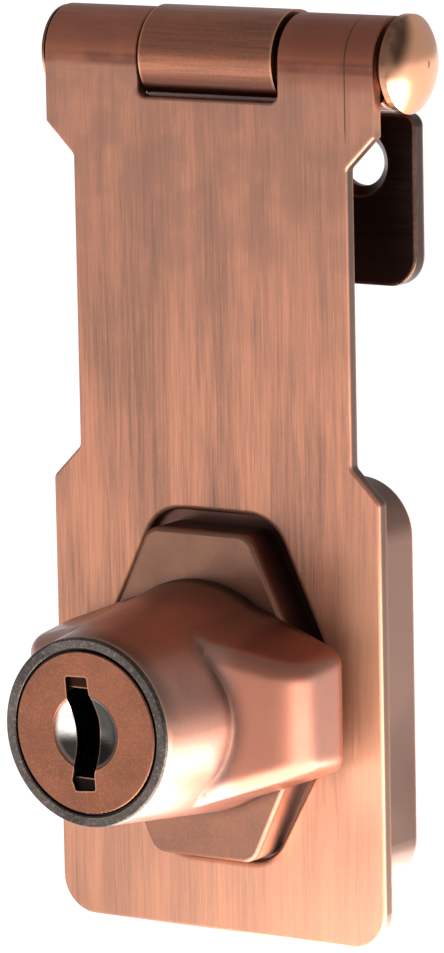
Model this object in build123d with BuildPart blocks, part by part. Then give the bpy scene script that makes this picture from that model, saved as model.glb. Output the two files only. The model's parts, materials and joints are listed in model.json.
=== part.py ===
"""Keyed hasp lock: a slotted strap, hinged to a screw-on leaf, is held over its base by a keyed turning knob.

Millimetres. +X is to the right, +Z is up and -Y is towards the viewer. The origin lies on the knob's axis,
in the plane that the base and the hinge leaf are screwed against. A height is measured from that plane
towards the viewer, so a height h lies at Y = -h. Angles are counted anticlockwise as the viewer sees them.
"""
from build123d import *
from math import cos, degrees, radians, sin, sqrt, tan
import os

os.makedirs("parts", exist_ok=True)

# Clearances, and how far a cutter runs past the face that it goes through
slide_gap = 0.05
face_gap = 0.1
open_gap = 0.3
cut_past = 1.0

# Share of a direction from which an edge or a face counts as pointing that way
facing = 0.5

# Sheet metal
strap_gauge = 1.5
leaf_gauge = 1.8
edge_round = 0.35

# Die-cast base
base_half_width = 19.1
base_half_height = 23.5
base_depth = 9.3
base_corner_radius = 6.5
base_wall = 2.0
base_front_wall = 2.3
base_draft = 1.5
base_rim_round = 0.8
base_screw_x = 13.2
base_screw_z = 17.2
base_screw_radius = 1.9
base_screw_head_radius = 3.3
base_column_radius = 3.9

# Boss on the base, which the strap's slot drops over
boss_height = 5.0
boss_half_height = 18.5
boss_half_width = 13.0
boss_end_half_width = 6.6
boss_side_half_height = 4.8
boss_corner_radius = 2.2
boss_round = 0.5
slot_margin = 1.45
slot_corner_radius = 4.8
slot_lip_round = 0.8

# Strap
strap_half_width = 21.5
strap_waist_half_width = 17.9
strap_bottom = 27.6
strap_corner_radius = 4.2
strap_shoulder_round = 0.9
strap_plate_top = 22.6
strap_ear_bottom = 62.7

# Hinge
hinge_height = 70.3
pin_radius = 3.6
leaf_knuckle_half_width = 8.7
notch_side_gap = 0.45
notch_corner_radius = 1.0
strap_roll_sweep = 308
leaf_roll_sweep = 306
leaf_half_width = 21.2
leaf_bottom = 45.2
leaf_bottom_corner_radius = 3.5
leaf_top_corner_radius = 1.5
leaf_bend_radius = 0.5
leaf_hole_x = 13.9
leaf_hole_z = 58.8
leaf_low_hole_z = 49.8
leaf_hole_radius = 2.75
leaf_hole_head_radius = 3.8
leaf_hole_head_angle = 90
pin_collar_length = 0.9
pin_collar_radius = 4.2
pin_head_radius = 5.45
pin_head_rim = 0.8
pin_head_dome = 2.1
pin_rivet_radius = 5.0
pin_rivet_height = 1.3
pin_rivet_rim = 0.3

# Turning knob
wing_end_setback = 0.5
wing_end_half_height = 5.6
wing_outline_run = 2.5
wing_centre_radius = 12.75
wing_draft = 6
wing_end_draft = 2
wing_slope_length = 10.0
wing_depth = 13.0
wing_end_depth = 8.0
wing_end_round = 6.0
wing_edge_round = 2.4
nose_rear_radius = 13.1
nose_front_radius = 10.45
nose_depth = 22.6
ring_depth = 0.45
ring_round = 0.3
ring_inner_round = 0.25
ring_wall = 1.3

# Lock cylinder in the knob
housing_radius = 9.0
housing_tail_height = 1.6
housing_tail_land = 0.75
housing_flat = 7.6
plug_radius = 7.4
plug_rear_height = 15.5
plug_journal_radius = 4.0
plug_cap_depth = 2.2
plug_cap_sink = 0.0
plug_cap_round = 0.2
dimple_radius = 4.25
dimple_depth = 1.3
keyway_step = 0.6
keyway_top = 4.75
keyway_bottom = 5.1
keyway_end_height = 18.9
keyway_round = 0.3
wafer_count = 5
wafer_front_height = 32.4
wafer_pitch = 2.8
wafer_thickness = 1.0
wafer_width = 8.4
wafer_travel = 0.8
wafer_window_width = 4.8
wafer_window_height = 7.8
wafer_window_shift = -0.5
wafer_bitting = (0.4, -0.2, 0.0, 0.3, -0.4)
retainer_width = 5.0
retainer_foot = 4.2
retainer_height = 17.2
retainer_reach = 0.55

# Lock bolt and its eccentric
bolt_width = 8.0
bolt_thickness = 2.8
bolt_rear_height = 9.2
bolt_end_setback = 0.15
eccentric_radius = 1.2
eccentric_offset = 1.5
eccentric_slot_gap = 0.12
notch_end_gap = 0.35

# Quarter-turn stop, retaining ring and detent; half of the quarter turn lies each side of the tab's middle
hub_wall = 3.5
stop_washer_thickness = 1.0
stop_washer_radius = 11.8
stop_tab_width = 4.0
stop_tab_radius = 14.2
stop_post_width = 2.4
turn_half_angle = 45
snap_ring_thickness = 0.75
snap_ring_radius = 10.4
snap_ring_groove_radius = 8.2
snap_ring_opening = 3.0
detent_x = -8.0
detent_z = -8.0
detent_ball_radius = 1.2
detent_pocket_floor = 8.0
detent_travel = 0.4
detent_wire_radius = 0.16
detent_coil_radius = 0.8
detent_pitch = 0.72

# Heights of the faces that meet, worked out from the sizes above
strap_front = base_depth + strap_gauge
boss_front = base_depth + boss_height
knob_rear = boss_front + face_gap
nose_front = knob_rear + nose_depth
cap_front = nose_front - plug_cap_sink
plug_front = cap_front - plug_cap_depth
housing_front = plug_front - face_gap
bolt_front = bolt_rear_height + bolt_thickness
eccentric_across = eccentric_offset * cos(radians(turn_half_angle))
eccentric_up = eccentric_offset * sin(radians(turn_half_angle))
ring_outer_radius = nose_front_radius
knob_bore_radius = housing_radius + slide_gap / 2
base_bore_radius = housing_radius + slide_gap
hub_radius = base_bore_radius + hub_wall
pin_bore_radius = pin_radius + slide_gap
strap_knuckle_radius = pin_bore_radius + strap_gauge
leaf_knuckle_radius = pin_bore_radius + leaf_gauge
hinge_axis_height = strap_front - strap_knuckle_radius
hinge_axis = Axis((0, -hinge_axis_height, hinge_height), (1, 0, 0))
notch_floor = hinge_height - sqrt(leaf_knuckle_radius**2 - (base_depth - hinge_axis_height) ** 2) - open_gap
snap_ring_rear = housing_tail_height + housing_tail_land + face_gap
stop_washer_rear = snap_ring_rear + snap_ring_thickness + face_gap
stop_washer_front = stop_washer_rear + stop_washer_thickness
hub_rear = stop_washer_front + face_gap
wing_half_length = base_half_width - wing_end_setback
wing_flat_half_length = wing_half_length - wing_slope_length
wing_end_lean = wing_end_depth * tan(radians(wing_end_draft))


def both_sides(right_side):
    """Closes an outline that is the same left and right of the middle, from the points of its right side."""
    return right_side + [(-x, z) for x, z in reversed(right_side)]


def boss_outline():
    """Long octagon that narrows towards both ends."""
    quarter = [(boss_end_half_width, boss_half_height), (boss_half_width, boss_side_half_height)]
    right_side = quarter + [(x, -z) for x, z in reversed(quarter)]
    Polygon(*both_sides(right_side), align=None)


def rolled_section(outer_radius, gauge, start, sweep):
    """Section of a sheet rolled around the pin, between two angles in the plane across the hinge."""
    with BuildLine() as section:
        outer = CenterArc((-hinge_axis_height, hinge_height), outer_radius, start, sweep)
        inner = CenterArc((-hinge_axis_height, hinge_height), outer_radius - gauge, start, sweep)
        Line(outer @ 0, inner @ 0)
        Line(outer @ 1, inner @ 1)
    make_face(section.edges())


def keyway_outline():
    """Warded slot that leans to the right on its way down and widens again at its foot."""
    right_side = [(0.3, 6.1), (0.45, 4.9), (1.1, 1.4), (1.25, -3.9), (1.1, -4.5), (1.2, -6.35)]
    left_side = [(-1.4, -6.6), (-1.85, -5.4), (-1.6, -4.3), (-1.7, -1.7), (-2.3, 3.4), (-2.5, 6.0)]
    with BuildSketch(Plane.XY, mode=Mode.PRIVATE) as slot:
        Polygon(*(right_side + left_side), align=None)
        fillet(slot.vertices(), keyway_round)
    add(slot.sketch)


def keyway_core():
    """Middle of the slot, the stretch that goes through to the plug."""
    keyway_outline()
    with Locations((0, (keyway_top - keyway_bottom) / 2)):
        Rectangle(2 * plug_radius, keyway_top + keyway_bottom, mode=Mode.INTERSECT)


# Base: a cored die casting with an outside draft, screw columns and the boss
with BuildPart() as lock_base:
    with BuildSketch(Plane.XZ):
        RectangleRounded(2 * base_half_width, 2 * base_half_height, base_corner_radius)
    extrude(amount=base_depth, taper=base_draft)
    fillet(lock_base.faces().sort_by(Axis.Y)[0].edges(), base_rim_round)
    with BuildSketch(Plane.XZ.offset(base_depth)) as boss_sketch:
        boss_outline()
        fillet(boss_sketch.vertices(), boss_corner_radius)
    extrude(amount=boss_height)
    fillet(lock_base.faces().sort_by(Axis.Y)[0].edges(), boss_round)
    with BuildSketch(Plane.XZ):
        RectangleRounded(
            2 * (base_half_width - base_wall),
            2 * (base_half_height - base_wall),
            base_corner_radius - base_wall,
        )
        Circle(hub_radius, mode=Mode.SUBTRACT)
        with GridLocations(2 * base_screw_x, 2 * base_screw_z, 2, 2):
            Circle(base_column_radius, mode=Mode.SUBTRACT)
    extrude(amount=base_depth - base_front_wall, mode=Mode.SUBTRACT)
    # The hub stops short of the back, where the stop washer turns
    with BuildSketch(Plane.XZ):
        Circle(hub_radius)
    extrude(amount=hub_rear, mode=Mode.SUBTRACT)
    # Two posts stop the washer's tab a quarter turn apart
    post_inner = stop_washer_radius + open_gap
    post_swing = degrees((stop_tab_width / 2 + stop_post_width / 2 + open_gap) / post_inner)
    with BuildSketch(Plane.XZ.offset(stop_washer_rear)):
        for post_angle in (-turn_half_angle - post_swing, turn_half_angle + post_swing):
            with Locations(Rot(0, 0, post_angle) * Pos((post_inner + stop_tab_radius) / 2, 0)):
                Rectangle(stop_tab_radius - post_inner, stop_post_width)
    extrude(amount=base_depth - stop_washer_front)
    with BuildSketch(Plane.XZ):
        Circle(base_bore_radius)
    extrude(amount=boss_front, mode=Mode.SUBTRACT)
    # Notches that take the lock bolt at either end of the knob's turn, open to the rear
    bolt_reach = housing_radius - bolt_end_setback + 2 * eccentric_across
    with BuildSketch(Plane.XZ.offset(hub_rear)):
        with Locations((-(bolt_reach + notch_end_gap) / 2, 0)):
            Rectangle(bolt_reach + notch_end_gap, bolt_width + open_gap)
        with Locations((0, -(bolt_reach + notch_end_gap) / 2)):
            Rectangle(bolt_width + open_gap, bolt_reach + notch_end_gap)
    extrude(amount=bolt_front + face_gap - hub_rear, mode=Mode.SUBTRACT)
    # Blind pocket for the detent
    with BuildSketch(Plane.XZ.offset(detent_pocket_floor)):
        with Locations((detent_x, detent_z)):
            Circle(detent_ball_radius + slide_gap)
    extrude(amount=boss_front - detent_pocket_floor, mode=Mode.SUBTRACT)
    with Locations(Plane.XZ.offset(base_depth)):
        with GridLocations(2 * base_screw_x, 2 * base_screw_z, 2, 2):
            CounterSinkHole(base_screw_radius, base_screw_head_radius, depth=base_depth)
lock_base.part.label = "lock_base"
export_step(lock_base.part, "parts/lock_base.step")

# Strap: one plate with a waist, a slot over the boss and an ear rolled around the pin at either side
with BuildPart() as hasp_strap:
    shoulder = strap_half_width - strap_waist_half_width
    with BuildSketch(Plane.XZ.offset(base_depth)) as strap_sketch:
        Polygon(
            *both_sides(
                [
                    (strap_half_width, hinge_height),
                    (strap_half_width, strap_ear_bottom),
                    (strap_waist_half_width, strap_ear_bottom - shoulder),
                    (strap_waist_half_width, strap_plate_top + shoulder),
                    (strap_half_width, strap_plate_top),
                    (strap_half_width, -strap_bottom),
                ]
            ),
            align=None,
        )
        fillet(strap_sketch.vertices().group_by(Axis.Y)[0], strap_corner_radius)
        shoulder_corners = strap_sketch.vertices().filter_by_position(Axis.Y, strap_plate_top, strap_ear_bottom)
        fillet(shoulder_corners, strap_shoulder_round)
    extrude(amount=strap_gauge)
    with BuildSketch(Plane.XZ.offset(base_depth)) as slot_sketch:
        boss_outline()
        offset(amount=slot_margin, kind=Kind.INTERSECTION)
        fillet(slot_sketch.vertices(), slot_corner_radius)
    extrude(amount=strap_gauge, mode=Mode.SUBTRACT)
    with BuildSketch(Plane.YZ.offset(-strap_half_width)):
        rolled_section(strap_knuckle_radius, strap_gauge, 180, -strap_roll_sweep)
    extrude(amount=2 * strap_half_width)
    with BuildSketch(Plane.XZ.offset(strap_front)) as notch_sketch:
        with Locations((0, notch_floor)):
            Rectangle(
                2 * (leaf_knuckle_half_width + notch_side_gap),
                hinge_height + strap_knuckle_radius + cut_past - notch_floor,
                align=(Align.CENTER, Align.MIN),
            )
        fillet(notch_sketch.vertices().group_by(Axis.Y)[0], notch_corner_radius)
    extrude(amount=-strap_gauge, mode=Mode.SUBTRACT)
    # Behind the plate the ears are rolled apart, so the gap between them goes right down
    with BuildSketch(Plane.XZ.offset(base_depth)):
        with Locations((0, hinge_height)):
            Rectangle(2 * (leaf_knuckle_half_width + notch_side_gap), 2 * (strap_knuckle_radius + cut_past))
    extrude(amount=-base_depth, mode=Mode.SUBTRACT)
    front_face = hasp_strap.faces().filter_by(Axis.Y).sort_by(Axis.Y)[0]
    fillet(front_face.inner_wires().edges(), slot_lip_round)
    front_face = hasp_strap.faces().filter_by(Axis.Y).sort_by(Axis.Y)[0]
    outer_edges = front_face.outer_wire().edges()
    fillet(outer_edges.filter_by(lambda edge: edge.center().Z < hinge_height - face_gap), edge_round)
hasp_strap.part.label = "hasp_strap"
export_step(hasp_strap.part, "parts/hasp_strap.step")

# Leaf: a screw plate whose tongue bends forward below the pin and rolls around it
with BuildPart() as hinge_leaf:
    web_bottom = hinge_height - leaf_knuckle_radius
    web_top = web_bottom + leaf_gauge
    bend_outer_radius = leaf_bend_radius + leaf_gauge
    flange_top = web_top - bend_outer_radius
    with BuildSketch(Plane.XZ) as leaf_sketch:
        with Locations((0, leaf_bottom)):
            Rectangle(2 * leaf_half_width, flange_top - leaf_bottom, align=(Align.CENTER, Align.MIN))
        fillet(leaf_sketch.vertices().group_by(Axis.Y)[0], leaf_bottom_corner_radius)
        fillet(leaf_sketch.vertices().group_by(Axis.Y)[-1], leaf_top_corner_radius)
    extrude(amount=leaf_gauge)
    fillet(hinge_leaf.faces().sort_by(Axis.Y)[0].edges(), edge_round)
    with BuildSketch(Plane.YZ.offset(-leaf_knuckle_half_width)):
        rolled_section(leaf_knuckle_radius, leaf_gauge, -90, -leaf_roll_sweep)
        with Locations((-hinge_axis_height, web_bottom)):
            Rectangle(hinge_axis_height - bend_outer_radius, leaf_gauge, align=(Align.MIN, Align.MIN))
        with BuildLine():
            back = CenterArc((-bend_outer_radius, flange_top), bend_outer_radius, 0, 90)
            inside = CenterArc((-bend_outer_radius, flange_top), leaf_bend_radius, 0, 90)
            Line(back @ 0, inside @ 0)
            Line(back @ 1, inside @ 1)
        make_face()
        with Locations((0, flange_top)):
            Rectangle(leaf_gauge, leaf_top_corner_radius, align=(Align.MAX, Align.MAX))
    extrude(amount=2 * leaf_knuckle_half_width)
    with Locations(Plane.XZ.offset(leaf_gauge)):
        with Locations((-leaf_hole_x, leaf_hole_z), (leaf_hole_x, leaf_hole_z), (0, leaf_low_hole_z)):
            CounterSinkHole(
                leaf_hole_radius,
                leaf_hole_head_radius,
                depth=leaf_gauge,
                counter_sink_angle=leaf_hole_head_angle,
            )
hinge_leaf.part.label = "hinge_leaf"
export_step(hinge_leaf.part, "parts/hinge_leaf.step")

# Pin: turned, with a domed head on a collar at the right and a flat riveted end at the left
with BuildPart() as hinge_pin:
    pin_end = strap_half_width + face_gap
    rim_start = pin_end + pin_collar_length
    rim_end = rim_start + pin_head_rim
    with BuildSketch(Plane(hinge_axis.position, x_dir=(1, 0, 0), z_dir=(0, -1, 0))):
        with BuildLine():
            rivet = TangentArc(
                (-pin_end - pin_rivet_height, 0), (-pin_end - pin_rivet_rim, pin_rivet_radius), tangent=(0, 1)
            )
            shank = Polyline(
                rivet @ 1,
                (-pin_end, pin_rivet_radius),
                (-pin_end, pin_radius),
                (pin_end, pin_radius),
                (pin_end, pin_collar_radius),
                (rim_start, pin_collar_radius),
                (rim_start, pin_head_radius),
                (rim_end, pin_head_radius),
            )
            dome = TangentArc((rim_end + pin_head_dome, 0), (rim_end, pin_head_radius), tangent=(0, 1))
            Line(dome @ 0, rivet @ 0)
        make_face()
    revolve(axis=hinge_axis)
hinge_pin.part.label = "hinge_pin"
export_step(hinge_pin.part, "parts/hinge_pin.step")

# Knob: a casting whose two wings fall away from a drafted nose, bored for the lock cylinder
with BuildPart() as turn_knob:
    with BuildSketch(Plane.XZ.offset(knob_rear)):
        Circle(wing_centre_radius)
        Rectangle(2 * (wing_half_length + wing_outline_run), 2 * wing_end_half_height)
        make_hull()
    extrude(amount=wing_depth + cut_past, taper=wing_draft)
    with BuildSketch(Plane.XY.offset(-wing_centre_radius - cut_past)) as plan_sketch:
        Polygon(
            *both_sides(
                [
                    (wing_flat_half_length, -knob_rear - wing_depth),
                    (wing_half_length - wing_end_lean, -knob_rear - wing_end_depth),
                    (wing_half_length, -knob_rear),
                ]
            ),
            align=None,
        )
        fillet(plan_sketch.vertices().group_by(Axis.Y)[1], wing_end_round)
    extrude(amount=2 * (wing_centre_radius + cut_past), mode=Mode.INTERSECT)
    plan_faces = turn_knob.faces().filter_by(lambda face: max(abs(face.normal_at().Z), face.normal_at().Y) < facing)
    long_edges = plan_faces.edges().filter_by(lambda edge: abs(edge.tangent_at(0.5).Z) < facing)
    fillet(long_edges.filter_by(lambda edge: edge.center().Y < -knob_rear - face_gap), wing_edge_round)
    # Nose, tapering to the front
    with BuildSketch(Plane.XZ.offset(knob_rear)):
        Circle(nose_rear_radius)
    with BuildSketch(Plane.XZ.offset(nose_front - ring_depth)):
        Circle(nose_front_radius)
    loft()
    with BuildSketch(Plane.XZ):
        Circle(knob_bore_radius)
    extrude(amount=nose_front, mode=Mode.SUBTRACT)
    # Two dimples in the rear face, a quarter turn apart, for the detent ball
    dimple_height = boss_front - detent_ball_radius + detent_travel + slide_gap
    for dimple_x, dimple_z in ((detent_x, detent_z), (detent_z, -detent_x)):
        with Locations((dimple_x, -dimple_height, dimple_z)):
            Sphere(detent_ball_radius + face_gap, mode=Mode.SUBTRACT)
turn_knob.part.label = "turn_knob"
export_step(turn_knob.part, "parts/turn_knob.step")

# Rim ring on the knob's nose
with BuildPart() as nose_ring:
    with BuildSketch(Plane.XZ.offset(nose_front - ring_depth)):
        Circle(ring_outer_radius)
        Circle(ring_outer_radius - ring_wall, mode=Mode.SUBTRACT)
    extrude(amount=ring_depth)
    rims = nose_ring.faces().sort_by(Axis.Y)[0].edges().sort_by(SortBy.RADIUS)
    fillet(rims[-1], ring_round)
    fillet(rims[0], ring_inner_round)
nose_ring.part.label = "nose_ring"
export_step(nose_ring.part, "parts/nose_ring.step")

# Cylinder housing: fixed in the knob, passes through the base and carries the lock bolt
with BuildPart() as lock_housing:
    with BuildSketch(Plane.XZ.offset(housing_tail_height)):
        Circle(housing_radius)
    extrude(amount=housing_front - housing_tail_height)
    with BuildSketch(Plane.XZ.offset(plug_rear_height - face_gap)):
        Circle(plug_radius + slide_gap)
    extrude(amount=housing_front, mode=Mode.SUBTRACT)
    with BuildSketch(Plane.XZ.offset(bolt_front)):
        Circle(plug_journal_radius + slide_gap)
    extrude(amount=plug_rear_height - bolt_front, mode=Mode.SUBTRACT)
    with BuildSketch(Plane.XZ.offset(bolt_rear_height - slide_gap)):
        Rectangle(2 * housing_radius, bolt_width + 2 * slide_gap)
    extrude(amount=bolt_thickness + 2 * slide_gap, mode=Mode.SUBTRACT)
    # Grooves that the wafers spring into, in line with the slots at either end of the key's turn
    wafer_rear_height = wafer_front_height - (wafer_count - 1) * wafer_pitch
    groove_reach = plug_radius + wafer_travel + open_gap
    with BuildSketch(Plane.XZ.offset(wafer_rear_height - wafer_thickness)):
        Rectangle(wafer_width + open_gap, 2 * groove_reach)
        Rectangle(2 * groove_reach, wafer_width + open_gap)
        Circle(groove_reach, mode=Mode.INTERSECT)
    extrude(amount=wafer_front_height - wafer_rear_height + 2 * wafer_thickness, mode=Mode.SUBTRACT)
    with BuildSketch(Plane.XZ.offset(retainer_height - 2 * face_gap)):
        Circle(plug_radius + retainer_reach + open_gap)
    extrude(amount=wafer_thickness + 4 * face_gap, mode=Mode.SUBTRACT)
    # Groove for the snap ring and two flats for the stop washer
    with BuildSketch(Plane.XZ.offset(snap_ring_rear - face_gap)):
        Circle(housing_radius)
        Circle(snap_ring_groove_radius - slide_gap, mode=Mode.SUBTRACT)
    extrude(amount=snap_ring_thickness + face_gap, mode=Mode.SUBTRACT)
    with BuildSketch(Plane.XZ):
        with Locations((housing_radius + housing_flat, 0), (-housing_radius - housing_flat, 0)):
            Rectangle(2 * housing_radius, 2 * housing_radius)
    extrude(amount=stop_washer_front, mode=Mode.SUBTRACT)
lock_housing.part.label = "lock_housing"
export_step(lock_housing.part, "parts/lock_housing.step")

# Plug: turned with the key, slotted for the wafers, with a journal and an eccentric pin at its tail
with BuildPart() as key_plug:
    with BuildSketch(Plane.XZ.offset(plug_rear_height)):
        Circle(plug_radius)
    extrude(amount=plug_front - plug_rear_height)
    with BuildSketch(Plane.XZ.offset(bolt_front + face_gap)):
        Circle(plug_journal_radius)
    extrude(amount=plug_rear_height - bolt_front)
    with BuildSketch(Plane.XZ.offset(bolt_rear_height + face_gap)):
        with Locations((eccentric_across, eccentric_up)):
            Circle(eccentric_radius)
    extrude(amount=bolt_thickness)
    with BuildSketch(Plane.XZ.offset(keyway_end_height)):
        keyway_core()
    extrude(amount=plug_front, mode=Mode.SUBTRACT)
    for number in range(wafer_count):
        slot_centre = wafer_front_height - number * wafer_pitch
        with BuildSketch(Plane.XZ.offset(slot_centre - wafer_thickness / 2 - slide_gap)):
            Rectangle(wafer_width + 2 * slide_gap, 2 * plug_radius)
        extrude(amount=wafer_thickness + 2 * slide_gap, mode=Mode.SUBTRACT)
    with BuildSketch(Plane.XZ.offset(retainer_height - slide_gap)):
        with Locations((0, retainer_foot - slide_gap)):
            Rectangle(retainer_width + 2 * slide_gap, plug_radius, align=(Align.CENTER, Align.MIN))
    extrude(amount=wafer_thickness + 2 * slide_gap, mode=Mode.SUBTRACT)
key_plug.part.label = "key_plug"
export_step(key_plug.part, "parts/key_plug.step")

# Face cap on the plug: stepped keyway in a polished dimple
with BuildPart() as plug_cap:
    cap_radius = housing_radius - slide_gap
    with BuildSketch(Plane.XZ.offset(plug_front)):
        Circle(cap_radius)
    extrude(amount=plug_cap_depth)
    fillet(plug_cap.faces().sort_by(Axis.Y)[0].edges(), plug_cap_round)
    dimple_sphere = (dimple_radius**2 + dimple_depth**2) / (2 * dimple_depth)
    with Locations((0, -cap_front - dimple_sphere + dimple_depth, 0)):
        Sphere(dimple_sphere, mode=Mode.SUBTRACT)
    with BuildSketch(Plane.XZ.offset(cap_front - keyway_step)):
        keyway_outline()
    extrude(amount=keyway_step, mode=Mode.SUBTRACT)
    with BuildSketch(Plane.XZ.offset(plug_front)):
        keyway_core()
    extrude(amount=plug_cap_depth, mode=Mode.SUBTRACT)
plug_cap.part.label = "plug_cap"
export_step(plug_cap.part, "parts/plug_cap.step")

# Retainer: a short wafer that turns with the plug inside a full groove and keeps the plug in
with BuildPart() as plug_retainer:
    with BuildSketch(Plane.XZ.offset(retainer_height)):
        Circle(plug_radius + retainer_reach)
        with Locations((0, retainer_foot)):
            Rectangle(retainer_width, plug_radius, align=(Align.CENTER, Align.MIN), mode=Mode.INTERSECT)
    extrude(amount=wafer_thickness)
plug_retainer.part.label = "plug_retainer"
export_step(plug_retainer.part, "parts/plug_retainer.step")

# Wafers: windowed plates, each cut for its own step of the key
for number, bitting in enumerate(wafer_bitting[:wafer_count], start=1):
    wafer_height = wafer_front_height - (number - 1) * wafer_pitch
    with BuildPart() as wafer:
        with BuildSketch(Plane.XZ.offset(wafer_height - wafer_thickness / 2)):
            Circle(plug_radius - slide_gap)
            Rectangle(wafer_width, 2 * plug_radius, mode=Mode.INTERSECT)
            with Locations((wafer_window_shift, bitting)):
                Rectangle(wafer_window_width, wafer_window_height, mode=Mode.SUBTRACT)
        extrude(amount=wafer_thickness)
    wafer.part.label = f"wafer_{number}"
    export_step(wafer.part, f"parts/wafer_{number}.step")

# Lock bolt: slides across the housing, its slot follows the plug's eccentric pin
with BuildPart() as lock_bolt:
    with BuildSketch(Plane.XZ.offset(bolt_rear_height)):
        Circle(housing_radius - bolt_end_setback)
        Rectangle(2 * housing_radius, bolt_width, mode=Mode.INTERSECT)
        slot_reach = eccentric_radius + eccentric_slot_gap
        slot_bottom = eccentric_up - slot_reach
        slot_top = eccentric_offset + slot_reach
        with Locations((eccentric_across, (slot_bottom + slot_top) / 2)):
            Rectangle(2 * slot_reach, slot_top - slot_bottom, mode=Mode.SUBTRACT)
    extrude(amount=bolt_thickness)
lock_bolt.part.label = "lock_bolt"
export_step(lock_bolt.part, "parts/lock_bolt.step")

# Stop washer: keyed to the housing's flats, its tab swings between the base's posts
with BuildPart() as stop_washer:
    with BuildSketch(Plane.XZ.offset(stop_washer_rear)):
        Circle(stop_washer_radius)
        with Locations(Rot(0, 0, -turn_half_angle) * Pos(stop_tab_radius / 2, 0)):
            Rectangle(stop_tab_radius, stop_tab_width)
        with BuildSketch(Plane.XY, mode=Mode.PRIVATE) as keyed_hole:
            Circle(housing_radius + slide_gap)
            Rectangle(2 * (housing_flat + slide_gap), 2 * (housing_radius + cut_past), mode=Mode.INTERSECT)
        add(keyed_hole.sketch, mode=Mode.SUBTRACT)
    extrude(amount=stop_washer_thickness)
stop_washer.part.label = "stop_washer"
export_step(stop_washer.part, "parts/stop_washer.step")

# Snap ring behind the stop washer
with BuildPart() as snap_ring:
    with BuildSketch(Plane.XZ.offset(snap_ring_rear)):
        Circle(snap_ring_radius)
        Circle(snap_ring_groove_radius, mode=Mode.SUBTRACT)
        with Locations((0, -snap_ring_radius)):
            Rectangle(snap_ring_opening, snap_ring_radius, mode=Mode.SUBTRACT)
    extrude(amount=snap_ring_thickness)
snap_ring.part.label = "snap_ring"
export_step(snap_ring.part, "parts/snap_ring.step")

# Detent: a ball held down at the boss's face, with its coil spring below
with BuildPart() as detent_ball:
    with Locations((detent_x, -(boss_front - detent_ball_radius - slide_gap), detent_z)):
        Sphere(detent_ball_radius)
detent_ball.part.label = "detent_ball"
export_step(detent_ball.part, "parts/detent_ball.step")

with BuildPart() as detent_spring:
    spring_bottom = detent_pocket_floor + detent_wire_radius + slide_gap
    spring_top = boss_front - 2 * detent_ball_radius - 2 * slide_gap - detent_wire_radius
    with BuildLine():
        coil = Helix(
            detent_pitch,
            spring_top - spring_bottom,
            detent_coil_radius,
            center=(detent_x, -spring_bottom, detent_z),
            direction=(0, -1, 0),
        )
    with BuildSketch(Plane(coil @ 0, z_dir=coil % 0)):
        Circle(detent_wire_radius)
    sweep(is_frenet=True)
detent_spring.part.label = "detent_spring"
export_step(detent_spring.part, "parts/detent_spring.step")
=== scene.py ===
"""Looks of a keyed hasp lock: brushed, cast and polished copper finishes around the fixed frame.

Metres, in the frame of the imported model: +X is to the right, +Z is up and -Y is towards the viewer.
The knob turns about the Y axis through the origin. A height h in front of the mounting plane is at Y = -h.
"""
import json
import logging
import math
from dataclasses import dataclass, field
from enum import Enum

import bpy
from mathutils import Matrix, Vector

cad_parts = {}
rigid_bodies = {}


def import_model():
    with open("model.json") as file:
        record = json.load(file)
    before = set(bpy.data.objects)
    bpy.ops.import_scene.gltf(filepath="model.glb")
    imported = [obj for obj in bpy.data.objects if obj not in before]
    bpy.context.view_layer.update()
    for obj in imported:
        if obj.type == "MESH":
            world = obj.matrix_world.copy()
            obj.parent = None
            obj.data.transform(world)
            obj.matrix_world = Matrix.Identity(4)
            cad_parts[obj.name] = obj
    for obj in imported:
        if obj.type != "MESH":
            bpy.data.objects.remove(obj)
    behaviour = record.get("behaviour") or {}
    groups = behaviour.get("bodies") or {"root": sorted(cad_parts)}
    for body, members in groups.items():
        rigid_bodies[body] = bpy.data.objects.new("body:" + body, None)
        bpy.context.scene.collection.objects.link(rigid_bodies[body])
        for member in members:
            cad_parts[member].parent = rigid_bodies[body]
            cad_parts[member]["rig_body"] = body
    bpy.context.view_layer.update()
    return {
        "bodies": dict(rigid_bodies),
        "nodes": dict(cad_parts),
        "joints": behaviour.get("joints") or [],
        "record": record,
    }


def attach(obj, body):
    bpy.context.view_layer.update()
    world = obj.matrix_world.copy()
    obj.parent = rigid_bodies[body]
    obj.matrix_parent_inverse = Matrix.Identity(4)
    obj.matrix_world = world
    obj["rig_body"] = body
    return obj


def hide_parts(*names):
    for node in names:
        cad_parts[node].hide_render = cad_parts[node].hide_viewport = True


LOG = logging.getLogger("hasp_lock")

WEAR_SAMPLES = 6
ROUNDING_SAMPLES = 8
COAT_ROUGHNESS = 0.2
BUMP_HEIGHT = 0.00006

Colour = tuple[float, float, float]
Place = tuple[float, float, float]
Socket = bpy.types.NodeSocket
Group = bpy.types.ShaderNodeTree


class Grain(Enum):
    """Direction in which a surface was brushed, as the stretch of its hairlines and of its patches."""

    UPRIGHT = ((1.0, 1.0, 0.012), (1.0, 1.0, 0.13))
    ACROSS = ((0.012, 1.0, 1.0), (0.13, 1.0, 1.0))
    CAST = ((0.7, 0.7, 0.7), (0.5, 0.5, 0.5))


class Axis(Enum):
    """Direction along which a finish changes."""

    X = (1.0, 0.0, 0.0)
    Y = (0.0, 1.0, 0.0)
    Z = (0.0, 0.0, 1.0)
    UP_FRONT = (0.0, -0.857, 0.515)


Stretch = tuple[Axis, float, float]


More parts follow.
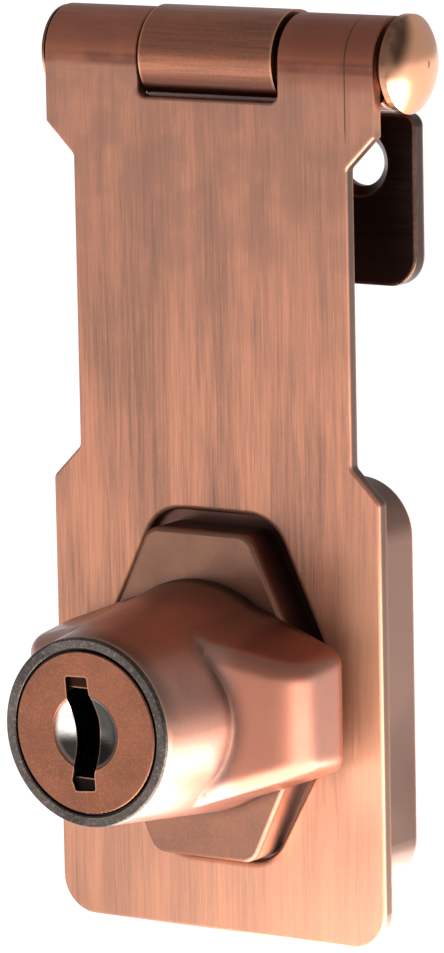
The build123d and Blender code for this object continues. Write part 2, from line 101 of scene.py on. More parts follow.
class Tree:
    """Adds nodes to one node tree and links them."""

    COLOUR_INPUTS = (6, 7)
    COLOUR_OUTPUT = 2

    def __init__(self, tree: bpy.types.NodeTree) -> None:
        """Keeps the tree that the nodes go into."""
        self.tree = tree

    def node(self, kind: str, **values: object) -> bpy.types.Node:
        """Adds a node and fills its sockets.

        Args:
            kind: Blender's name of the node type.
            **values: a socket or a plain value for each input, with _ for a space in its name.

        Returns:
            The new node.
        """
        node = self.tree.nodes.new(kind)
        for name, value in values.items():
            self.feed(node.inputs[name.replace("_", " ")], value)
        return node

    def feed(self, target: Socket, value: object) -> None:
        """Links a socket to an input, or sets the input to a plain value.

        Args:
            target: the input.
            value: an output socket, a number or a colour.
        """
        if isinstance(value, bpy.types.NodeSocket):
            self.tree.links.new(value, target)
        elif isinstance(value, tuple) and len(value) == 3 and target.type == "RGBA":
            target.default_value = (*value, 1.0)
        else:
            target.default_value = value

    def math(self, operation: str, first: object, second: object = 0.0, clamp: bool = False) -> Socket:
        """Adds one sum.

        Args:
            operation: Blender's name of the operation.
            first: the first value or socket.
            second: the second value or socket.
            clamp: whether the result is kept between 0 and 1.

        Returns:
            The result's socket.
        """
        node = self.tree.nodes.new("ShaderNodeMath")
        node.operation = operation
        node.use_clamp = clamp
        self.feed(node.inputs[0], first)
        self.feed(node.inputs[1], second)
        return node.outputs[0]

    def total(self, *terms: tuple[object, float]) -> Socket:
        """Adds weighted values and keeps the sum between 0 and 1.

        Args:
            *terms: each value with its weight.

        Returns:
            The sum's socket.
        """
        result = self.math("MULTIPLY", *terms[0])
        for value, weight in terms[1:]:
            result = self.math("ADD", result, self.math("MULTIPLY", value, weight))
        return self.math("ADD", result, 0.0, clamp=True)

    def vector(self, operation: str, first: object, second: object) -> bpy.types.Node:
        """Adds one vector sum.

        Args:
            operation: Blender's name of the operation.
            first: the first vector or socket.
            second: the second vector or socket.

        Returns:
            The node, whose outputs are Vector and Value.
        """
        node = self.tree.nodes.new("ShaderNodeVectorMath")
        node.operation = operation
        self.feed(node.inputs[0], first)
        self.feed(node.inputs[1], second)
        return node

    def blend(self, share: object, first: object, second: object, mode: str = "MIX") -> Socket:
        """Mixes two colours.

        Args:
            share: how much of the second colour shows.
            first: the colour at 0.
            second: the colour at 1.
            mode: Blender's name of the mixing mode.

        Returns:
            The mixed colour's socket.
        """
        node = self.tree.nodes.new("ShaderNodeMix")
        node.data_type = "RGBA"
        node.blend_type = mode
        self.feed(node.inputs["Factor"], share)
        for index, colour in zip(self.COLOUR_INPUTS, (first, second)):
            self.feed(node.inputs[index], colour)
        return node.outputs[self.COLOUR_OUTPUT]

    def span(
        self, value: object, low: object, high: object, start: object = 0.0, end: object = 1.0
    ) -> Socket:
        """Maps a value smoothly from one range to another and keeps it inside.

        Args:
            value: what is mapped.
            low: the value that gives start.
            high: the value that gives end.
            start: the result at low.
            end: the result at high.

        Returns:
            The mapped value's socket.
        """
        node = self.tree.nodes.new("ShaderNodeMapRange")
        node.interpolation_type = "SMOOTHSTEP"
        names = ("Value", "From Min", "From Max", "To Min", "To Max")
        for name, given in zip(names, (value, low, high, start, end)):
            self.feed(node.inputs[name], given)
        return node.outputs["Result"]

    def noise(self, vector: object, scale: object, detail: float = 3.0, roughness: float = 0.55) -> Socket:
        """Adds cloudy noise.

        Args:
            vector: the point that is looked up.
            scale: lumps per metre.
            detail: how many finer layers are added.
            roughness: how strong the finer layers are.

        Returns:
            The noise value's socket.
        """
        texture = self.node("ShaderNodeTexNoise", Vector=vector, Scale=scale)
        self.feed(texture.inputs["Detail"], detail)
        self.feed(texture.inputs["Roughness"], roughness)
        return texture.outputs["Fac"]

    def place(self, stretch: object = (1.0, 1.0, 1.0)) -> Socket:
        """Looks up the point on the piece, in the frame's metres.

        Args:
            stretch: what each coordinate is multiplied by.

        Returns:
            The point's socket.
        """
        point = self.tree.nodes.new("ShaderNodeTexCoord").outputs["Object"]
        return self.vector("MULTIPLY", point, stretch).outputs["Vector"]

    def effect(self, group: Group, values: dict[str, object]) -> dict[str, Socket]:
        """Places a shared effect.

        Args:
            group: the shared effect.
            values: what its inputs are set to.

        Returns:
            The effect's outputs by name.
        """
        node = self.tree.nodes.new("ShaderNodeGroup")
        node.node_tree = group
        for name, value in values.items():
            self.feed(node.inputs[name], value)
        return {socket.name: socket for socket in node.outputs}


def new_group(
    name: str, inputs: dict[str, tuple[str, object]], outputs: dict[str, str]
) -> tuple[Tree, dict[str, Socket], dict[str, Socket]]:
    """Starts a shader node group with named sockets.

    Args:
        name: the group's name.
        inputs: socket type and default of each input.
        outputs: socket type of each output.

    Returns:
        The group's tree, its input sockets and its output sockets by name.
    """
    group = bpy.data.node_groups.new(name, "ShaderNodeTree")
    for label, (kind, default) in inputs.items():
        socket = group.interface.new_socket(label, in_out="INPUT", socket_type=f"NodeSocket{kind}")
        socket.default_value = default
    for label, kind in outputs.items():
        group.interface.new_socket(label, in_out="OUTPUT", socket_type=f"NodeSocket{kind}")
    start = group.nodes.new("NodeGroupInput")
    end = group.nodes.new("NodeGroupOutput")
    return Tree(group), {s.name: s for s in start.outputs}, {s.name: s for s in end.inputs}


def brush_group() -> Group:
    """Fine streaks of a brushed surface.

    Returns:
        The group: dark streaks, bright hairlines, slower bands and a height for the bump.
    """
    coarse_to_fine = 0.22
    broad_to_fine = 0.034
    coarse_widening = (0.2, 0.2, 0.2)
    tree, given, out = new_group(
        "brush",
        {
            "Stretch": ("Vector", (1.0, 1.0, 1.0)),
            "Patch Stretch": ("Vector", (1.0, 1.0, 1.0)),
            "Fineness": ("Float", 9000.0),
        },
        {"Streaks": "Float", "Hairlines": "Float", "Bands": "Float", "Height": "Float"},
    )
    widening = tree.vector("MULTIPLY", given["Patch Stretch"], coarse_widening).outputs["Vector"]
    coarse_stretch = tree.vector("ADD", given["Stretch"], widening).outputs["Vector"]
    coarse_scale = tree.math("MULTIPLY", given["Fineness"], coarse_to_fine)
    broad_scale = tree.math("MULTIPLY", given["Fineness"], broad_to_fine)
    fine = tree.noise(tree.place(given["Stretch"]), given["Fineness"], detail=2.0, roughness=0.6)
    coarse = tree.noise(tree.place(coarse_stretch), coarse_scale, detail=3.0, roughness=0.65)
    broad = tree.noise(tree.place(given["Patch Stretch"]), broad_scale, detail=3.0, roughness=0.5)
    both = tree.math("ADD", fine, coarse)
    tree.feed(out["Streaks"], tree.span(both, low=0.78, high=1.24))
    tree.feed(out["Hairlines"], tree.span(fine, low=0.55, high=0.68))
    tree.feed(out["Bands"], tree.span(broad, low=0.36, high=0.66))
    tree.feed(out["Height"], both)
    return tree.tree


def wear_group() -> Group:
    """Rubbed edges and dark crevices.

    Returns:
        The group: a mask of outer edges and a mask of inner corners.
    """
    lumps_per_metre = 900.0
    tree, given, out = new_group(
        "wear",
        {
            "Reach": ("Float", 0.0006),
            "Depth": ("Float", 0.002),
            "Open": ("Float", 0.82),
            "Shut": ("Float", 0.40),
        },
        {"Edge": "Float", "Crevice": "Float"},
    )
    bevel = tree.node("ShaderNodeBevel", Radius=given["Reach"])
    bevel.samples = WEAR_SAMPLES
    normal = tree.tree.nodes.new("ShaderNodeNewGeometry").outputs["Normal"]
    turned = tree.vector("DOT_PRODUCT", bevel.outputs["Normal"], normal).outputs["Value"]
    shade = tree.node("ShaderNodeAmbientOcclusion", Distance=given["Depth"])
    shade.samples = WEAR_SAMPLES
    openness = shade.outputs["AO"]
    lumps = tree.noise(tree.place(), lumps_per_metre)
    uneven = tree.span(lumps, low=0.3, high=0.7, start=0.7, end=1.3)
    turn = tree.math("MULTIPLY", tree.math("SUBTRACT", 1.0, turned), uneven)
    edge = tree.span(turn, low=0.006, high=0.10)
    outside = tree.span(openness, low=0.72, high=0.92)
    tree.feed(out["Edge"], tree.math("MULTIPLY", edge, outside))
    tree.feed(out["Crevice"], tree.span(openness, low=given["Open"], high=given["Shut"]))
    return tree.tree


def patina_group() -> Group:
    """Mottled patina: slow clouds and small bright specks.

    Returns:
        The group: clouds, specks and a height for the bump.
    """
    tree, given, out = new_group(
        "patina",
        {"Cloud Scale": ("Float", 220.0), "Speck Scale": ("Float", 3200.0)},
        {"Clouds": "Float", "Specks": "Float", "Height": "Float"},
    )
    point = tree.place()
    clouds = tree.noise(point, given["Cloud Scale"], detail=4.0)
    specks = tree.noise(point, given["Speck Scale"], detail=2.0, roughness=0.6)
    tree.feed(out["Clouds"], tree.span(clouds, low=0.34, high=0.68))
    tree.feed(out["Specks"], tree.span(specks, low=0.52, high=0.68))
    tree.feed(out["Height"], specks)
    return tree.tree


def stretch_group() -> Group:
    """Mask over one stretch of a piece, from 0 at its start to 1 at its end.

    Returns:
        The group: a mask.
    """
    tree, given, out = new_group(
        "stretch",
        {"Direction": ("Vector", (0.0, 0.0, 1.0)), "Start": ("Float", 0.0), "End": ("Float", 1.0)},
        {"Mask": "Float"},
    )
    along = tree.vector("DOT_PRODUCT", tree.place(), given["Direction"]).outputs["Value"]
    tree.feed(out["Mask"], tree.span(along, given["Start"], given["End"]))
    return tree.tree


@dataclass
class EffectGroups:
    """The shared effects, each built once."""

    brush: Group = field(default_factory=brush_group)
    wear: Group = field(default_factory=wear_group)
    patina: Group = field(default_factory=patina_group)
    stretch: Group = field(default_factory=stretch_group)


@dataclass(frozen=True)
class Zone:
    """Place on a piece with a colour of its own, used for marks of the finish and for painted light and
    shade.

    A stretch gives an axis, where the mask starts and where it is full. The zone lies where all its
    stretches are, and the patina's clouds break it up by its share of broken.
    """

    colour: Colour
    share: float
    stretches: tuple[Stretch, ...]
    broken: float = 0.0
    roughness: float | None = None

    def mask(self, tree: Tree, groups: EffectGroups, clouds: Socket) -> Socket:
        """Works out how much of the zone's colour shows.

        Args:
            tree: the material's tree.
            groups: the shared effects.
            clouds: slow noise that breaks the zone's outline up.

        Returns:
            The mask's socket.
        """
        mask = None
        for axis, start, end in self.stretches:
            along = {"Direction": axis.value, "Start": start, "End": end}
            part = tree.effect(groups.stretch, along)["Mask"]
            mask = part if mask is None else tree.math("MULTIPLY", mask, part)
        if self.broken:
            kept = tree.span(clouds, low=0.0, high=1.0, start=1.0 - self.broken)
            mask = tree.math("MULTIPLY", mask, kept)
        return tree.math("MULTIPLY", mask, self.share)


@dataclass(frozen=True)
class CopperFinish:
    """Antique copper: a dark patina over copper, worn back to the metal on its edges.

    Shares run from 0 to 1, scales and fineness count lumps per metre, and reaches and depths are metres.
    """

    name: str
    metal: Colour = (0.56, 0.255, 0.17)
    patina: Colour = (0.33, 0.185, 0.14)
    glow: Colour = (0.80, 0.38, 0.22)
    crevice: Colour = (0.05, 0.022, 0.016)
    grain: Grain = Grain.CAST
    upper_grain: Grain | None = None
    upper_from: tuple[float, float] = (0.0, 0.0)
    fineness: float = 9000.0
    cloud_scale: float = 220.0
    speck_scale: float = 3200.0
    streak_share: float = 0.4
    band_share: float = 0.3
    cloud_share: float = 0.3
    hairline_share: float = 0.12
    speck_share: float = 0.1
    edge_reach: float = 0.0006
    edge_share: float = 0.75
    crevice_depth: float = 0.002
    crevice_share: float = 0.6
    crevice_open: float = 0.82
    crevice_shut: float = 0.40
    rough_low: float = 0.28
    rough_high: float = 0.42
    bump: float = 0.12
    soften: float = 0.0
    coat: float = 0.25
    metallic: float = 1.0
    zones: tuple[Zone, ...] = ()

    def build(self, groups: EffectGroups) -> bpy.types.Material:
        """Makes the material.

        Args:
            groups: the shared effects.

        Returns:
            The new material.
        """
        material = bpy.data.materials.new(self.name)
        material.use_nodes = True
        tree = Tree(material.node_tree)
        shader = material.node_tree.nodes["Principled BSDF"]
        brush = self.brushing(tree, groups)
        corners = {
            "Reach": self.edge_reach,
            "Depth": self.crevice_depth,
            "Open": self.crevice_open,
            "Shut": self.crevice_shut,
        }
        wear = tree.effect(groups.wear, corners)
        scales = {"Cloud Scale": self.cloud_scale, "Speck Scale": self.speck_scale}
        patina = tree.effect(groups.patina, scales)
        dark = tree.total(
            (brush["Streaks"], self.streak_share),
            (brush["Bands"], self.band_share),
            (patina["Clouds"], self.cloud_share),
        )
        colour = tree.blend(dark, self.metal, self.patina)
        colour = tree.blend(tree.math("MULTIPLY", brush["Hairlines"], self.hairline_share), colour, self.glow)
        colour = tree.blend(tree.math("MULTIPLY", patina["Specks"], self.speck_share), colour, self.glow)
        roughness = tree.span(dark, low=0.0, high=1.0, start=self.rough_low, end=self.rough_high)
        for zone in self.zones:
            share = zone.mask(tree, groups, patina["Clouds"])
            colour = tree.blend(share, colour, zone.colour)
            if zone.roughness is not None:
                roughness = tree.span(share, low=0.0, high=1.0, start=roughness, end=zone.roughness)
        colour = tree.blend(tree.math("MULTIPLY", wear["Crevice"], self.crevice_share), colour, self.crevice)
        colour = tree.blend(tree.math("MULTIPLY", wear["Edge"], self.edge_share), colour, self.glow)
        tree.feed(shader.inputs["Base Color"], colour)
        tree.feed(shader.inputs["Roughness"], roughness)
        tree.feed(shader.inputs["Metallic"], self.metallic)
        tree.feed(shader.inputs["Coat Weight"], self.coat)
        tree.feed(shader.inputs["Coat Roughness"], COAT_ROUGHNESS)
        height = tree.math("ADD", brush["Height"], patina["Height"])
        bump = tree.node("ShaderNodeBump", Strength=self.bump, Distance=BUMP_HEIGHT, Height=height)
        if self.soften:
            rounded = tree.node("ShaderNodeBevel", Radius=self.soften)
            rounded.samples = ROUNDING_SAMPLES
            tree.feed(bump.inputs["Normal"], rounded.outputs["Normal"])
        tree.feed(shader.inputs["Normal"], bump.outputs["Normal"])
        return material

    def brushing(self, tree: Tree, groups: EffectGroups) -> dict[str, Socket]:
        """Lays the brushed streaks, which turn to a second direction higher up where the finish has one.

        Args:
            tree: the material's tree.
            groups: the shared effects.

        Returns:
            The streaks, hairlines, bands and height.
        """
        main = self.brush(tree, groups, self.grain)
        if self.upper_grain is None:
            return main
        upper = self.brush(tree, groups, self.upper_grain)
        low, high = self.upper_from
        along = {"Direction": Axis.Z.value, "Start": low, "End": high}
        share = tree.effect(groups.stretch, along)["Mask"]
        return {name: tree.blend(share, main[name], upper[name]) for name in main}

    def brush(self, tree: Tree, groups: EffectGroups, grain: Grain) -> dict[str, Socket]:
        """Places the brushed streaks in one direction.

        Args:
            tree: the material's tree.
            groups: the shared effects.
            grain: the direction.

        Returns:
            The streaks, hairlines, bands and height.
        """
        fine, patch = grain.value
        values = {"Stretch": fine, "Patch Stretch": patch, "Fineness": self.fineness}
        return tree.effect(groups.brush, values)


@dataclass
class SubAssembly:
    """A group of the frame's nodes with their finishes."""

    frame: dict
    groups: EffectGroups

    def dress(self, finish: CopperFinish, *nodes: str) -> None:
        """Gives nodes of the frame their material.

        Args:
            finish: the finish.
            *nodes: names of the nodes.
        """
        self.cover(finish, *(self.frame["nodes"][name] for name in nodes))

    def cover(self, finish: CopperFinish, *pieces: bpy.types.Object) -> None:
        """Gives pieces their material.

        Args:
            finish: the finish.
            *pieces: the pieces.
        """
        material = finish.build(self.groups)
        for piece in pieces:
            piece.data.materials.clear()
            piece.data.materials.append(material)
            LOG.info("%s: %s in %s", type(self).__name__, piece.name, material.name)


@dataclass
class Base(SubAssembly):
    """Die-cast box with the boss that stands through the strap's slot."""

    box_front: float = -0.0093
    boss_front: float = -0.0143

    def build(self) -> None:
        """Dresses the casting: a darker boss face, greyer sides, painted shade on the box's top, the sides'
        lower parts and the boss's upper walls, a painted reflection on the boss's lower walls and a painted
        shadow round the boss's foot.
        """
        side = (Axis.Y, self.box_front + 0.0002, self.box_front + 0.0010)
        before_floor = (Axis.Y, self.box_front + 0.0003, self.box_front)
        boss_face = Zone(
            colour=(0.20, 0.094, 0.058),
            share=0.85,
            stretches=(
                (Axis.Y, self.boss_front + 0.0007, self.boss_front + 0.0004),
                (Axis.Z, -0.012, 0.010),
            ),
        )
        grey_side = Zone(colour=(0.27, 0.152, 0.112), share=0.9, stretches=(side,))
        # Painted shade: the box's sides darken towards their lower part.
        shaded_side_foot = Zone(
            colour=(0.15, 0.078, 0.056),
            share=0.8,
            stretches=(side, (Axis.Z, 0.002, -0.010)),
        )
        # Painted shade: the box's top and upper sides, behind its front, are darkened.
        shaded_box_top = Zone(
            colour=(0.11, 0.05, 0.035),
            share=0.85,
            stretches=(
                (Axis.Y, self.box_front, self.box_front + 0.0008),
                (Axis.Z, 0.0195, 0.0228),
            ),
        )
        # Painted shade: the upper part of the boss's side walls is darkened.
        shaded_upper_wall = Zone(
            colour=(0.12, 0.048, 0.036),
            share=0.9,
            stretches=(
                (Axis.Y, self.boss_front + 0.0004, self.boss_front + 0.0012),
                before_floor,
                (Axis.Z, -0.007, -0.002),
            ),
        )
        # Painted reflection: a light pink band on the lower part of the boss's side walls.
        lit_lower_wall = Zone(
            colour=(0.86, 0.52, 0.40),
            share=0.9,
            stretches=(
                (Axis.Y, self.boss_front + 0.0003, self.boss_front + 0.0008),
                before_floor,
                (Axis.Z, -0.007, -0.011),
            ),
        )
        shadow_floor = Zone(
            colour=(0.02, 0.012, 0.01),
            share=0.95,
            stretches=(
                (Axis.Y, self.box_front - 0.0002, self.box_front + 0.0001),
                (Axis.Y, self.box_front + 0.0006, self.box_front + 0.0002),
                (Axis.X, 0.002, 0.0085),
            ),
        )
        finish = CopperFinish(
            "cast_copper_box",
            metal=(0.34, 0.144, 0.088),
            patina=(0.23, 0.118, 0.082),
            streak_share=0.15,
            band_share=0.1,
            cloud_share=0.5,
            hairline_share=0.0,
            rough_low=0.34,
            rough_high=0.46,
            bump=0.16,
            edge_reach=0.0005,
            zones=(boss_face, grey_side, shaded_side_foot, shaded_box_top, shaded_upper_wall, lit_lower_wall, shadow_floor),
        )
        self.dress(finish, "lock_base")


@dataclass
class Strap(SubAssembly):
    """Brushed plate with two ears rolled around the pin."""

    hinge_height: float = 0.0703
    across_from: float = 0.0675
    witness_line: float = 0.0179
    line_half_width: float = 0.00006
    slot_half_width: float = 0.0165
    slot_foot: float = -0.0220
    slot_foot_lift: float = 0.00075
    slot_foot_inset: float = 0.0006
    lift_from: float = -0.0050
    lift_full: float = -0.0150

    def plate(self) -> bpy.types.Object:
        """Makes the plate whose slot closes up to the boss at its foot.

        Returns:
            The plate, which stands for the frame's strap.
        """
        solid = self.frame["nodes"]["hasp_strap"]
        mesh = solid.data.copy()
        for vertex in mesh.vertices:
            across, _, up = vertex.co
            if abs(across) < self.slot_half_width and self.slot_foot < up < self.lift_from:
                share = min(1.0, (self.lift_from - up) / (self.lift_from - self.lift_full))
                vertex.co.z += self.slot_foot_lift * share
                vertex.co.x -= math.copysign(min(abs(across), self.slot_foot_inset) * share, across)
        plate = bpy.data.objects.new("strap_plate", mesh)
        bpy.context.scene.collection.objects.link(plate)
        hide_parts("hasp_strap")
        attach(plate, solid["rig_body"])
        return plate

    def build(self) -> None:
        """Dresses the plate, brushed upright below the hinge and across on the ears."""
        # Painted light: the strap brightens towards its bottom, where the light from below falls.
        lit_strap_foot = Zone(
            colour=(0.74, 0.38, 0.24),
            share=0.3,
            stretches=((Axis.Z, 0.010, -0.024),),
        )
        # Painted light: a lighter patch on the strap's right margin beside the knob's wing.
        lit_strap_margin = Zone(
            colour=(0.98, 0.50, 0.30),
            share=0.55,
            stretches=((Axis.X, 0.0150, 0.0185), (Axis.Z, -0.016, -0.006), (Axis.Z, 0.022, 0.010)),
        )
        # Painted shade: the strap darkens in patches towards its top.
        shaded_strap_top = Zone(
            colour=(0.33, 0.165, 0.115),
            share=0.65,
            stretches=((Axis.Z, 0.025, 0.062),),
            broken=0.5,
        )
        # Painted shade: the rolled ears above the pin's height are darkened and reddened.
        ears = Zone(
            colour=(0.38, 0.095, 0.043),
            share=0.55,
            stretches=((Axis.Z, self.hinge_height - 0.0014, self.hinge_height - 0.0002),),
        )
        # Painted shade: the right ear's roll is darkened further.
        shaded_right_ear = Zone(
            colour=(0.27, 0.075, 0.04),
            share=0.6,
            stretches=((Axis.X, 0.006, 0.012), (Axis.Z, 0.0665, 0.0695)),
        )
        # Painted shade: a thin dark band across the ears just below the pin's height.
        ear_shade_line = Zone(
            colour=(0.13, 0.045, 0.03),
            share=0.65,
            stretches=(
                (Axis.Z, self.hinge_height - 0.0012, self.hinge_height - 0.0006),
                (Axis.Z, self.hinge_height + 0.0007, self.hinge_height),
            ),
            broken=0.6,
        )
        # Painted shade: the strap's side faces and back, below the ears, are darkened.
        side = Zone(
            colour=(0.09, 0.055, 0.042),
            share=0.85,
            stretches=((Axis.Y, -0.0106, -0.0103), (Axis.Z, 0.0640, 0.0615)),
        )
        half = self.line_half_width
        line = Zone(
            colour=(0.06, 0.03, 0.022),
            share=0.75,
            stretches=(
                (Axis.X, self.witness_line - 2 * half, self.witness_line - half),
                (Axis.X, self.witness_line + 2 * half, self.witness_line + half),
                (Axis.Z, 0.061, 0.064),
            ),
        )
        finish = CopperFinish(
            "brushed_copper_strap",
            metal=(0.67, 0.28, 0.165),
            patina=(0.29, 0.152, 0.108),
            grain=Grain.UPRIGHT,
            upper_grain=Grain.ACROSS,
            upper_from=(self.across_from, self.hinge_height),
            streak_share=0.5,
            band_share=0.42,
            cloud_share=0.05,
            hairline_share=0.55,
            edge_share=0.35,
            rough_low=0.42,
            rough_high=0.54,
            metallic=0.85,
            zones=(lit_strap_foot, lit_strap_margin, shaded_strap_top, ears, shaded_right_ear, ear_shade_line, side, line),
        )
        self.cover(finish, self.plate())


@dataclass
class Hinge(SubAssembly):
    """Screw leaf whose tongue is rolled around the pin, and the pin itself."""

    leaf_front: float = -0.0019
    knuckle_rear: float = -0.0030

    def build(self) -> None:
        """Dresses the knuckle brushed across with painted shade at its foot, its plate darkened with painted
        shade and the pin polished with a painted dark reflection on its upper front.
        """
        # Painted shade: the knuckle's lower front is darkened.
        shaded_knuckle_foot = Zone(
            colour=(0.14, 0.05, 0.034),
            share=0.8,
            stretches=((Axis.Z, 0.0694, 0.0676), (Axis.Y, -0.0055, -0.0065)),
        )
        # Painted shade: the leaf's plate behind the strap is nearly black.
        shaded_plate = Zone(
            colour=(0.045, 0.026, 0.022),
            share=0.95,
            stretches=((Axis.Y, self.knuckle_rear - 0.0006, self.leaf_front),),
        )
        leaf = CopperFinish(
            "brushed_copper_leaf",
            metal=(0.44, 0.158, 0.085),
            patina=(0.19, 0.085, 0.056),
            grain=Grain.ACROSS,
            streak_share=0.5,
            band_share=0.3,
            cloud_share=0.1,
            zones=(shaded_knuckle_foot, shaded_plate),
        )
        self.dress(leaf, "hinge_leaf")
        # Painted reflection: a dark patch on the upper front of the pin's dome.
        pin_dark_reflection = Zone(
            colour=(0.04, 0.013, 0.009),
            share=0.92,
            stretches=((Axis.UP_FRONT, 0.0436, 0.0454),),
            broken=0.25,
        )
        pin = CopperFinish(
            "polished_copper_pin",
            metal=(1.0, 0.52, 0.30),
            patina=(0.86, 0.41, 0.23),
            streak_share=0.1,
            band_share=0.1,
            cloud_share=0.2,
            hairline_share=0.0,
            crevice_share=0.0,
            edge_share=0.0,
            rough_low=0.24,
            rough_high=0.32,
            bump=0.05,
            coat=0.2,
            zones=(pin_dark_reflection,),
        )
        self.dress(pin, "hinge_pin")


@dataclass
class Knob(SubAssembly):
    """Winged casting with the dark ring around its nose."""

    nose_front: float = -0.0370

    def build(self) -> None:
        """Dresses the casting and its ring."""
        slopes = tuple(
            Zone(
                colour=(0.36, 0.125, 0.075),
                share=0.8,
                stretches=(
                    (Axis.X, side * 0.0100, side * 0.0125),
                    (Axis.X, side * 0.0188, side * 0.0179),
                    (Axis.Y, self.nose_front + 0.0098, self.nose_front + 0.0112),
                ),
            )
            for side in (-1, 1)
        )
        # Painted shade: a dark grey band on the top of the nose beside the ring.
        nose_top_shade = Zone(
            colour=(0.13, 0.105, 0.085),
            share=0.6,
            stretches=(
                (Axis.Y, self.nose_front + 0.0035, self.nose_front + 0.0008),
                (Axis.Z, 0.0, 0.005),
            ),
        )
        casting = CopperFinish(
            "cast_copper_knob",
            metal=(0.54, 0.245, 0.172),
            patina=(0.31, 0.19, 0.155),
            # Painted shade: these crevice settings darken the crease between the nose and the wings.
            crevice=(0.03, 0.02, 0.018),
            crevice_depth=0.0022,
            crevice_share=0.85,
            crevice_open=0.97,
            crevice_shut=0.84,
            soften=0.0013,
            streak_share=0.12,
            band_share=0.15,
            cloud_share=0.35,
            hairline_share=0.0,
            speck_share=0.12,
            rough_low=0.32,
            rough_high=0.42,
            bump=0.1,
            coat=0.3,
            edge_share=0.5,
            zones=(*slopes, nose_top_shade),
        )
        self.dress(casting, "turn_knob")
        ring = CopperFinish(
            "dark_bronze_ring",
            metal=(0.095, 0.074, 0.062),
            patina=(0.02, 0.017, 0.015),
            glow=(0.62, 0.50, 0.42),
            streak_share=0.2,
            band_share=0.2,
            cloud_share=0.4,
            hairline_share=0.0,
            speck_share=0.12,
            speck_scale=2600.0,
            edge_reach=0.0003,
            edge_share=0.5,
            rough_low=0.2,
            rough_high=0.36,
            bump=0.3,
        )
        self.dress(ring, "nose_ring")


@dataclass
class LockCylinder(SubAssembly):
    """Copper face with the keyway, and the plug, wafers and housing behind it."""

    face_front: float = -0.0370
    wafer_count: int = 5

    def build(self) -> None:
        """Dresses the face with painted dark reflections in its dimple and painted shade on the keyway's
        ends, the plug and wafers painted near-black as shade inside the keyway, and the brass works.
        """
        hollow = (Axis.Y, self.face_front + 0.00008, self.face_front + 0.0004)
        sunk = (Axis.Y, self.face_front + 0.00008, self.face_front + 0.0003)
        dimple = Zone(colour=(0.85, 0.79, 0.74), share=1.0, stretches=(hollow,), roughness=0.12)
        # Painted reflection: the dimple's right part is dark.
        dimple_right_dark_reflection = Zone(
            colour=(0.035, 0.037, 0.033),
            share=0.95,
            stretches=(hollow, (Axis.X, -0.0006, 0.0008)),
        )
        # Painted reflection: the dimple's lower part is dark.
        dimple_foot_dark_reflection = Zone(
            colour=(0.03, 0.02, 0.016),
            share=0.92,
            stretches=(hollow, (Axis.Z, 0.0002, -0.0016)),
        )
        # Painted shade: the step at the keyway's top end is nearly black.
        keyway_top_shade = Zone(
            colour=(0.03, 0.011, 0.008),
            share=1.0,
            stretches=(sunk, (Axis.Z, 0.0042, 0.0046)),
            roughness=0.4,
        )
        # Painted shade: the step at the keyway's bottom end is black.
        slot_foot = Zone(
            colour=(0.012, 0.009, 0.008),
            share=1.0,
            stretches=(sunk, (Axis.Z, -0.0042, -0.0046)),
            roughness=0.5,
        )
        face = CopperFinish(
            "satin_copper_face",
            metal=(0.25, 0.092, 0.052),
            patina=(0.14, 0.062, 0.040),
            glow=(0.60, 0.30, 0.18),
            streak_share=0.15,
            band_share=0.0,
            cloud_share=0.35,
            hairline_share=0.0,
            speck_share=0.16,
            speck_scale=5200.0,
            edge_reach=0.0003,
            crevice_depth=0.0006,
            rough_low=0.3,
            rough_high=0.42,
            bump=0.2,
            coat=0.0,
            zones=(dimple, dimple_right_dark_reflection, dimple_foot_dark_reflection, keyway_top_shade, slot_foot),
        )
        self.dress(face, "plug_cap")
        # Painted shade: the plug and wafers are near-black to stand for the dark inside the keyway.
        plug = CopperFinish(
            "plug_in_painted_shade",
            metal=(0.04, 0.031, 0.028),
            patina=(0.016, 0.013, 0.012),
            glow=(0.12, 0.09, 0.08),
            hairline_share=0.0,
            rough_low=0.3,
            rough_high=0.5,
        )
        wafers = (f"wafer_{number}" for number in range(1, self.wafer_count + 1))
        self.dress(plug, "key_plug", *wafers)
        works = CopperFinish(
            "lock_brass",
            metal=(0.62, 0.43, 0.20),
            patina=(0.42, 0.28, 0.13),
            glow=(0.80, 0.60, 0.32),
            streak_share=0.3,
        )
        self.dress(works, "lock_housing", "plug_retainer")


@dataclass
class BoltWorks(SubAssembly):
    """Steel parts behind the knob: bolt, stop washer, snap ring and detent."""

    def build(self) -> None:
        """Dresses the steel parts."""
        steel = CopperFinish(
            "bolt_steel",
            metal=(0.50, 0.50, 0.50),
            patina=(0.30, 0.30, 0.30),
            glow=(0.70, 0.70, 0.70),
            crevice=(0.05, 0.05, 0.05),
            streak_share=0.3,
        )
        self.dress(steel, "lock_bolt", "stop_washer", "snap_ring", "detent_ball", "detent_spring")


@dataclass(frozen=True)
class Panel:
    """Soft light panel that lies on the floor and shines upwards, in metres and watts."""

    name: str
    centre: tuple[float, float]
    sides: tuple[float, float]
    power: float


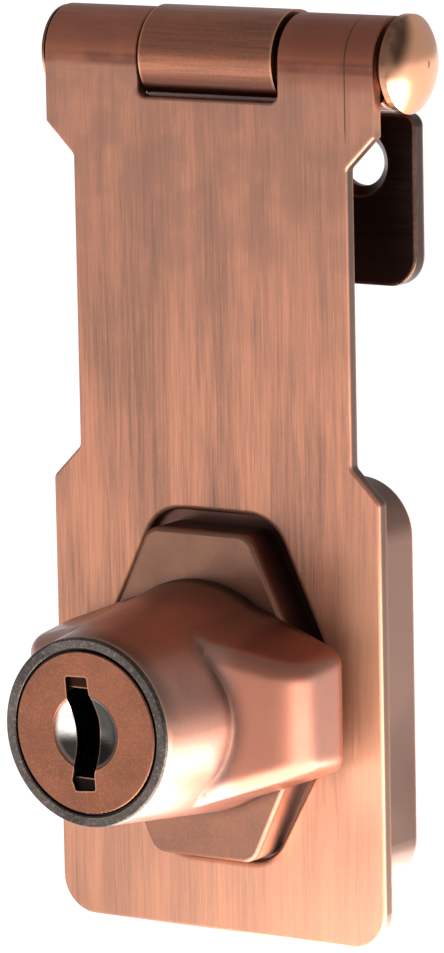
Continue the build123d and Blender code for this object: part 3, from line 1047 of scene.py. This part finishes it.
@dataclass
class Studio:
    """Plain floor, soft lamps and the camera at the photograph's angle."""

    surround_colour: Colour = (0.97, 0.96, 1.0)
    surround_strength: float = 0.47
    overhead_strength: float = 0.36
    overhead_from: tuple[float, float] = (0.6, 0.95)
    floor_height: float = -0.05
    floor_half: float = 3.0
    floor_colour: Colour = (0.8, 0.8, 0.8)
    floor_roughness: float = 0.9
    floor_glow: float = 0.8
    floor_glow_colour: Colour = (1.0, 1.0, 1.0)
    panel_lift: float = 0.001
    panels: tuple[Panel, ...] = (
        Panel("panel_below", centre=(0.1375, -0.015), sides=(0.295, 0.15), power=0.75),
        Panel("panel_front", centre=(-0.15, -0.26), sides=(0.4, 0.24), power=0.27),
    )
    camera_place: Place = (0.37104, -0.57524, 0.13830)
    camera_right: Place = (0.838, 0.5453, -0.0193)
    camera_up: Place = (-0.075, 0.1502, 0.9858)
    lens: float = 233.69
    sensor_width: float = 36.0
    clip_start: float = 0.01
    clip_end: float = 20.0

    def build(self) -> None:
        """Makes the world, the floor, the lamps and the camera."""
        self.world()
        self.floor()
        self.camera()
        for panel in self.panels:
            self.lamp(panel)

    def world(self) -> None:
        """Soft surroundings that darken overhead."""
        world = bpy.data.worlds.new("studio")
        world.use_nodes = True
        bpy.context.scene.world = world
        tree = Tree(world.node_tree)
        background = world.node_tree.nodes["Background"]
        direction = world.node_tree.nodes.new("ShaderNodeTexCoord").outputs["Generated"]
        upwards = tree.node("ShaderNodeSeparateXYZ", Vector=direction).outputs["Z"]
        strength = tree.span(upwards, *self.overhead_from, self.surround_strength, self.overhead_strength)
        tree.feed(background.inputs["Color"], self.surround_colour)
        tree.feed(background.inputs["Strength"], strength)

    def floor(self) -> None:
        """Pale floor below the lock."""
        half = self.floor_half
        signs = ((-1, -1), (1, -1), (1, 1), (-1, 1))
        corners = [(x * half, y * half, self.floor_height) for x, y in signs]
        mesh = bpy.data.meshes.new("floor")
        mesh.from_pydata(corners, [], [(0, 1, 2, 3)])
        floor = bpy.data.objects.new("floor", mesh)
        bpy.context.scene.collection.objects.link(floor)
        material = bpy.data.materials.new("floor_white")
        material.use_nodes = True
        tree = Tree(material.node_tree)
        shader = material.node_tree.nodes["Principled BSDF"]
        tree.feed(shader.inputs["Base Color"], self.floor_colour)
        tree.feed(shader.inputs["Roughness"], self.floor_roughness)
        path = material.node_tree.nodes.new("ShaderNodeLightPath")
        seen = tree.math("ADD", path.outputs["Is Camera Ray"], path.outputs["Is Glossy Ray"])
        seen = tree.math("ADD", seen, path.outputs["Is Transmission Ray"], clamp=True)
        tree.feed(shader.inputs["Emission Color"], self.floor_glow_colour)
        tree.feed(shader.inputs["Emission Strength"], tree.math("MULTIPLY", seen, self.floor_glow))
        floor.data.materials.append(material)

    def camera(self) -> None:
        """Camera at the photograph's angle."""
        right = Vector(self.camera_right).normalized()
        up = Vector(self.camera_up).normalized()
        back = right.cross(up)
        data = bpy.data.cameras.new("camera")
        data.lens = self.lens
        data.sensor_width = self.sensor_width
        data.clip_start = self.clip_start
        data.clip_end = self.clip_end
        camera = bpy.data.objects.new("camera", data)
        turned = Matrix((right, up, back)).transposed().to_4x4()
        camera.matrix_world = Matrix.Translation(self.camera_place) @ turned
        bpy.context.scene.collection.objects.link(camera)
        bpy.context.scene.camera = camera

    def lamp(self, panel: Panel) -> None:
        """Adds a light panel.

        Args:
            panel: the panel.
        """
        data = bpy.data.lights.new(panel.name, "AREA")
        data.shape = "RECTANGLE"
        data.size, data.size_y = panel.sides
        data.energy = panel.power
        lamp = bpy.data.objects.new(panel.name, data)
        lamp.location = (*panel.centre, self.floor_height + self.panel_lift)
        lamp.rotation_euler = Vector(Axis.Z.value).to_track_quat("-Z", "Y").to_euler()
        lamp.visible_camera = False
        bpy.context.scene.collection.objects.link(lamp)


def main() -> None:
    """Loads the frame, builds the studio and dresses every piece."""
    logging.basicConfig(level=logging.INFO, format="%(name)s: %(message)s")
    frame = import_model()
    bpy.context.scene.view_settings.view_transform = "Standard"
    Studio().build()
    groups = EffectGroups()
    for part in (Base, Strap, Hinge, Knob, LockCylinder, BoltWorks):
        part(frame, groups).build()
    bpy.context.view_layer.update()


if __name__ == "__main__":
    main()
